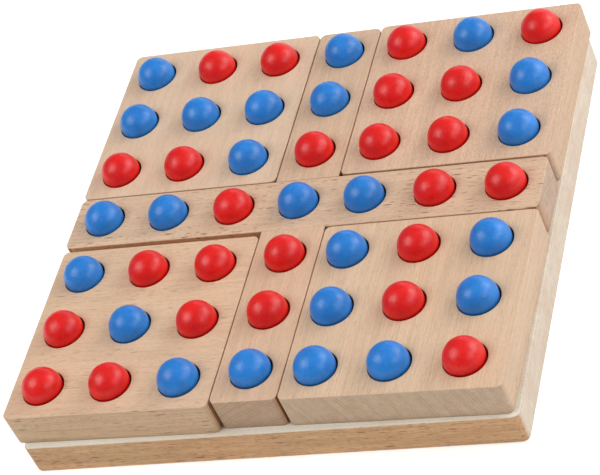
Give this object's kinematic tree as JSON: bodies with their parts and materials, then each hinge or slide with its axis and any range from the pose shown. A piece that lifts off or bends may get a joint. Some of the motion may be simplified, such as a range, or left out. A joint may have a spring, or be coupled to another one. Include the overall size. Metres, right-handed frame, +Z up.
{
  "type": "rotating gobang board",
  "caption": "Square wooden board game with a fixed drilled cross on a base board, loose drilled corner blocks that lift out for a quarter turn, and a painted ball in every socket.",
  "frame": {"origin": "under the middle socket of the cross, on the underside of the base board", "axes": "+X to the right along the long bar, +Y to the back along the short bars, +Z up"},
  "size_m": [0.2029, 0.2054, 0.0376],
  "materials": {
    "beech": "sanded, unvarnished",
    "base_beech": "sanded, unvarnished",
    "red_paint": "satin gloss paint",
    "blue_paint": "satin gloss paint"
  },
  "bodies": {
    "board": {"base_board": "base_beech", "long_bar_board": "beech", "back_bar_board": "beech", "front_bar_board": "beech"},
    "blue_ball_r2_c2": {"blue_ball_r2_c2": "blue_paint"},
    "back_left_block": {"back_left_block": "beech"},
    "red_ball_r2_c6": {"red_ball_r2_c6": "red_paint"},
    "back_right_block": {"back_right_block": "beech"},
    "blue_ball_r6_c2": {"blue_ball_r6_c2": "blue_paint"},
    "front_left_block": {"front_left_block": "beech"},
    "red_ball_r6_c6": {"red_ball_r6_c6": "red_paint"},
    "front_right_block": {"front_right_block": "beech"},
    "blue_ball_r1_c1": {"blue_ball_r1_c1": "blue_paint"},
    "red_ball_r1_c2": {"red_ball_r1_c2": "red_paint"},
    "red_ball_r1_c3": {"red_ball_r1_c3": "red_paint"},
    "blue_ball_r1_c4": {"blue_ball_r1_c4": "blue_paint"},
    "red_ball_r1_c5": {"red_ball_r1_c5": "red_paint"},
    "blue_ball_r1_c6": {"blue_ball_r1_c6": "blue_paint"},
    "red_ball_r1_c7": {"red_ball_r1_c7": "red_paint"},
    "blue_ball_r2_c1": {"blue_ball_r2_c1": "blue_paint"},
    "blue_ball_r2_c3": {"blue_ball_r2_c3": "blue_paint"},
    "blue_ball_r2_c4": {"blue_ball_r2_c4": "blue_paint"},
    "red_ball_r2_c5": {"red_ball_r2_c5": "red_paint"},
    "blue_ball_r2_c7": {"blue_ball_r2_c7": "blue_paint"},
    "red_ball_r3_c1": {"red_ball_r3_c1": "red_paint"},
    "red_ball_r3_c2": {"red_ball_r3_c2": "red_paint"},
    "blue_ball_r3_c3": {"blue_ball_r3_c3": "blue_paint"},
    "red_ball_r3_c4": {"red_ball_r3_c4": "red_paint"},
    "red_ball_r3_c5": {"red_ball_r3_c5": "red_paint"},
    "red_ball_r3_c6": {"red_ball_r3_c6": "red_paint"},
    "blue_ball_r3_c7": {"blue_ball_r3_c7": "blue_paint"},
    "blue_ball_r4_c1": {"blue_ball_r4_c1": "blue_paint"},
    "blue_ball_r4_c2": {"blue_ball_r4_c2": "blue_paint"},
    "red_ball_r4_c3": {"red_ball_r4_c3": "red_paint"},
    "blue_ball_r4_c4": {"blue_ball_r4_c4": "blue_paint"},
    "blue_ball_r4_c5": {"blue_ball_r4_c5": "blue_paint"},
    "red_ball_r4_c6": {"red_ball_r4_c6": "red_paint"},
    "red_ball_r4_c7": {"red_ball_r4_c7": "red_paint"},
    "blue_ball_r5_c1": {"blue_ball_r5_c1": "blue_paint"},
    "red_ball_r5_c2": {"red_ball_r5_c2": "red_paint"},
    "red_ball_r5_c3": {"red_ball_r5_c3": "red_paint"},
    "red_ball_r5_c4": {"red_ball_r5_c4": "red_paint"},
    "blue_ball_r5_c5": {"blue_ball_r5_c5": "blue_paint"},
    "red_ball_r5_c6": {"red_ball_r5_c6": "red_paint"},
    "blue_ball_r5_c7": {"blue_ball_r5_c7": "blue_paint"},
    "red_ball_r6_c1": {"red_ball_r6_c1": "red_paint"},
    "red_ball_r6_c3": {"red_ball_r6_c3": "red_paint"},
    "red_ball_r6_c4": {"red_ball_r6_c4": "red_paint"},
    "blue_ball_r6_c5": {"blue_ball_r6_c5": "blue_paint"},
    "blue_ball_r6_c7": {"blue_ball_r6_c7": "blue_paint"},
    "red_ball_r7_c1": {"red_ball_r7_c1": "red_paint"},
    "red_ball_r7_c2": {"red_ball_r7_c2": "red_paint"},
    "blue_ball_r7_c3": {"blue_ball_r7_c3": "blue_paint"},
    "blue_ball_r7_c4": {"blue_ball_r7_c4": "blue_paint"},
    "blue_ball_r7_c5": {"blue_ball_r7_c5": "blue_paint"},
    "blue_ball_r7_c6": {"blue_ball_r7_c6": "blue_paint"},
    "red_ball_r7_c7": {"red_ball_r7_c7": "red_paint"}
  },
  "joints": [
    {"name": "back_left_block_lift_out", "type": "slide", "parent": "board", "child": "blue_ball_r2_c2", "axis": [-0.6667, 0.6667, 0.3333], "range_m": [0, 0.102]},
    {"name": "back_left_block_turn", "type": "hinge", "parent": "blue_ball_r2_c2", "child": "back_left_block", "pos_m": [-0.0575, 0.0567, 0.022], "axis": [0, 0, 1], "range_deg": [0, 90]},
    {"name": "back_right_block_lift_out", "type": "slide", "parent": "board", "child": "red_ball_r2_c6", "axis": [0.6667, 0.6667, 0.3333], "range_m": [0, 0.102]},
    {"name": "back_right_block_turn", "type": "hinge", "parent": "red_ball_r2_c6", "child": "back_right_block", "pos_m": [0.0568, 0.058, 0.022], "axis": [0, 0, 1], "range_deg": [0, 90]},
    {"name": "front_left_block_lift_out", "type": "slide", "parent": "board", "child": "blue_ball_r6_c2", "axis": [-0.6667, -0.6667, 0.3333], "range_m": [0, 0.102]},
    {"name": "front_left_block_turn", "type": "hinge", "parent": "blue_ball_r6_c2", "child": "front_left_block", "pos_m": [-0.0569, -0.0589, 0.022], "axis": [0, 0, 1], "range_deg": [0, 90]},
    {"name": "front_right_block_lift_out", "type": "slide", "parent": "board", "child": "red_ball_r6_c6", "axis": [0.6667, -0.6667, 0.3333], "range_m": [0, 0.102]},
    {"name": "front_right_block_turn", "type": "hinge", "parent": "red_ball_r6_c6", "child": "front_right_block", "pos_m": [0.0558, -0.0574, 0.022], "axis": [0, 0, 1], "range_deg": [0, 90]},
    {"name": "blue_ball_r1_c1_lift", "type": "slide", "parent": "back_left_block", "child": "blue_ball_r1_c1", "axis": [0, 0, 1], "range_m": [0, 0.03]},
    {"name": "red_ball_r1_c2_lift", "type": "slide", "parent": "back_left_block", "child": "red_ball_r1_c2", "axis": [0, 0, 1], "range_m": [0, 0.03]},
    {"name": "red_ball_r1_c3_lift", "type": "slide", "parent": "back_left_block", "child": "red_ball_r1_c3", "axis": [0, 0, 1], "range_m": [0, 0.03]},
    {"name": "blue_ball_r1_c4_lift", "type": "slide", "parent": "board", "child": "blue_ball_r1_c4", "axis": [0, 0, 1], "range_m": [0, 0.03]},
    {"name": "red_ball_r1_c5_lift", "type": "slide", "parent": "back_right_block", "child": "red_ball_r1_c5", "axis": [0, 0, 1], "range_m": [0, 0.03]},
    {"name": "blue_ball_r1_c6_lift", "type": "slide", "parent": "back_right_block", "child": "blue_ball_r1_c6", "axis": [0, 0, 1], "range_m": [0, 0.03]},
    {"name": "red_ball_r1_c7_lift", "type": "slide", "parent": "back_right_block", "child": "red_ball_r1_c7", "axis": [0, 0, 1], "range_m": [0, 0.03]},
    {"name": "blue_ball_r2_c1_lift", "type": "slide", "parent": "back_left_block", "child": "blue_ball_r2_c1", "axis": [0, 0, 1], "range_m": [0, 0.03]},
    {"name": "blue_ball_r2_c3_lift", "type": "slide", "parent": "back_left_block", "child": "blue_ball_r2_c3", "axis": [0, 0, 1], "range_m": [0, 0.03]},
    {"name": "blue_ball_r2_c4_lift", "type": "slide", "parent": "board", "child": "blue_ball_r2_c4", "axis": [0, 0, 1], "range_m": [0, 0.03]},
    {"name": "red_ball_r2_c5_lift", "type": "slide", "parent": "back_right_block", "child": "red_ball_r2_c5", "axis": [0, 0, 1], "range_m": [0, 0.03]},
    {"name": "blue_ball_r2_c7_lift", "type": "slide", "parent": "back_right_block", "child": "blue_ball_r2_c7", "axis": [0, 0, 1], "range_m": [0, 0.03]},
    {"name": "red_ball_r3_c1_lift", "type": "slide", "parent": "back_left_block", "child": "red_ball_r3_c1", "axis": [0, 0, 1], "range_m": [0, 0.03]},
    {"name": "red_ball_r3_c2_lift", "type": "slide", "parent": "back_left_block", "child": "red_ball_r3_c2", "axis": [0, 0, 1], "range_m": [0, 0.03]},
    {"name": "blue_ball_r3_c3_lift", "type": "slide", "parent": "back_left_block", "child": "blue_ball_r3_c3", "axis": [0, 0, 1], "range_m": [0, 0.03]},
    {"name": "red_ball_r3_c4_lift", "type": "slide", "parent": "board", "child": "red_ball_r3_c4", "axis": [0, 0, 1], "range_m": [0, 0.03]},
    {"name": "red_ball_r3_c5_lift", "type": "slide", "parent": "back_right_block", "child": "red_ball_r3_c5", "axis": [0, 0, 1], "range_m": [0, 0.03]},
    {"name": "red_ball_r3_c6_lift", "type": "slide", "parent": "back_right_block", "child": "red_ball_r3_c6", "axis": [0, 0, 1], "range_m": [0, 0.03]},
    {"name": "blue_ball_r3_c7_lift", "type": "slide", "parent": "back_right_block", "child": "blue_ball_r3_c7", "axis": [0, 0, 1], "range_m": [0, 0.03]},
    {"name": "blue_ball_r4_c1_lift", "type": "slide", "parent": "board", "child": "blue_ball_r4_c1", "axis": [0, 0, 1], "range_m": [0, 0.03]},
    {"name": "blue_ball_r4_c2_lift", "type": "slide", "parent": "board", "child": "blue_ball_r4_c2", "axis": [0, 0, 1], "range_m": [0, 0.03]},
    {"name": "red_ball_r4_c3_lift", "type": "slide", "parent": "board", "child": "red_ball_r4_c3", "axis": [0, 0, 1], "range_m": [0, 0.03]},
    {"name": "blue_ball_r4_c4_lift", "type": "slide", "parent": "board", "child": "blue_ball_r4_c4", "axis": [0, 0, 1], "range_m": [0, 0.03]},
    {"name": "blue_ball_r4_c5_lift", "type": "slide", "parent": "board", "child": "blue_ball_r4_c5", "axis": [0, 0, 1], "range_m": [0, 0.03]},
    {"name": "red_ball_r4_c6_lift", "type": "slide", "parent": "board", "child": "red_ball_r4_c6", "axis": [0, 0, 1], "range_m": [0, 0.03]},
    {"name": "red_ball_r4_c7_lift", "type": "slide", "parent": "board", "child": "red_ball_r4_c7", "axis": [0, 0, 1], "range_m": [0, 0.03]},
    {"name": "blue_ball_r5_c1_lift", "type": "slide", "parent": "front_left_block", "child": "blue_ball_r5_c1", "axis": [0, 0, 1], "range_m": [0, 0.03]},
    {"name": "red_ball_r5_c2_lift", "type": "slide", "parent": "front_left_block", "child": "red_ball_r5_c2", "axis": [0, 0, 1], "range_m": [0, 0.03]},
    {"name": "red_ball_r5_c3_lift", "type": "slide", "parent": "front_left_block", "child": "red_ball_r5_c3", "axis": [0, 0, 1], "range_m": [0, 0.03]},
    {"name": "red_ball_r5_c4_lift", "type": "slide", "parent": "board", "child": "red_ball_r5_c4", "axis": [0, 0, 1], "range_m": [0, 0.03]},
    {"name": "blue_ball_r5_c5_lift", "type": "slide", "parent": "front_right_block", "child": "blue_ball_r5_c5", "axis": [0, 0, 1], "range_m": [0, 0.03]},
    {"name": "red_ball_r5_c6_lift", "type": "slide", "parent": "front_right_block", "child": "red_ball_r5_c6", "axis": [0, 0, 1], "range_m": [0, 0.03]},
    {"name": "blue_ball_r5_c7_lift", "type": "slide", "parent": "front_right_block", "child": "blue_ball_r5_c7", "axis": [0, 0, 1], "range_m": [0, 0.03]},
    {"name": "red_ball_r6_c1_lift", "type": "slide", "parent": "front_left_block", "child": "red_ball_r6_c1", "axis": [0, 0, 1], "range_m": [0, 0.03]},
    {"name": "red_ball_r6_c3_lift", "type": "slide", "parent": "front_left_block", "child": "red_ball_r6_c3", "axis": [0, 0, 1], "range_m": [0, 0.03]},
    {"name": "red_ball_r6_c4_lift", "type": "slide", "parent": "board", "child": "red_ball_r6_c4", "axis": [0, 0, 1], "range_m": [0, 0.03]},
    {"name": "blue_ball_r6_c5_lift", "type": "slide", "parent": "front_right_block", "child": "blue_ball_r6_c5", "axis": [0, 0, 1], "range_m": [0, 0.03]},
    {"name": "blue_ball_r6_c7_lift", "type": "slide", "parent": "front_right_block", "child": "blue_ball_r6_c7", "axis": [0, 0, 1], "range_m": [0, 0.03]},
    {"name": "red_ball_r7_c1_lift", "type": "slide", "parent": "front_left_block", "child": "red_ball_r7_c1", "axis": [0, 0, 1], "range_m": [0, 0.03]},
    {"name": "red_ball_r7_c2_lift", "type": "slide", "parent": "front_left_block", "child": "red_ball_r7_c2", "axis": [0, 0, 1], "range_m": [0, 0.03]},
    {"name": "blue_ball_r7_c3_lift", "type": "slide", "parent": "front_left_block", "child": "blue_ball_r7_c3", "axis": [0, 0, 1], "range_m": [0, 0.03]},
    {"name": "blue_ball_r7_c4_lift", "type": "slide", "parent": "board", "child": "blue_ball_r7_c4", "axis": [0, 0, 1], "range_m": [0, 0.03]},
    {"name": "blue_ball_r7_c5_lift", "type": "slide", "parent": "front_right_block", "child": "blue_ball_r7_c5", "axis": [0, 0, 1], "range_m": [0, 0.03]},
    {"name": "blue_ball_r7_c6_lift", "type": "slide", "parent": "front_right_block", "child": "blue_ball_r7_c6", "axis": [0, 0, 1], "range_m": [0, 0.03]},
    {"name": "red_ball_r7_c7_lift", "type": "slide", "parent": "front_right_block", "child": "red_ball_r7_c7", "axis": [0, 0, 1], "range_m": [0, 0.03]}
  ],
  "couplings": [
    {"joint": "back_left_block_lift_out", "follows": "back_left_block_turn", "m_per_rad": 0.0645},
    {"joint": "back_right_block_lift_out", "follows": "back_right_block_turn", "m_per_rad": 0.0645},
    {"joint": "front_left_block_lift_out", "follows": "front_left_block_turn", "m_per_rad": 0.0645},
    {"joint": "front_right_block_lift_out", "follows": "front_right_block_turn", "m_per_rad": 0.0645}
  ]
}
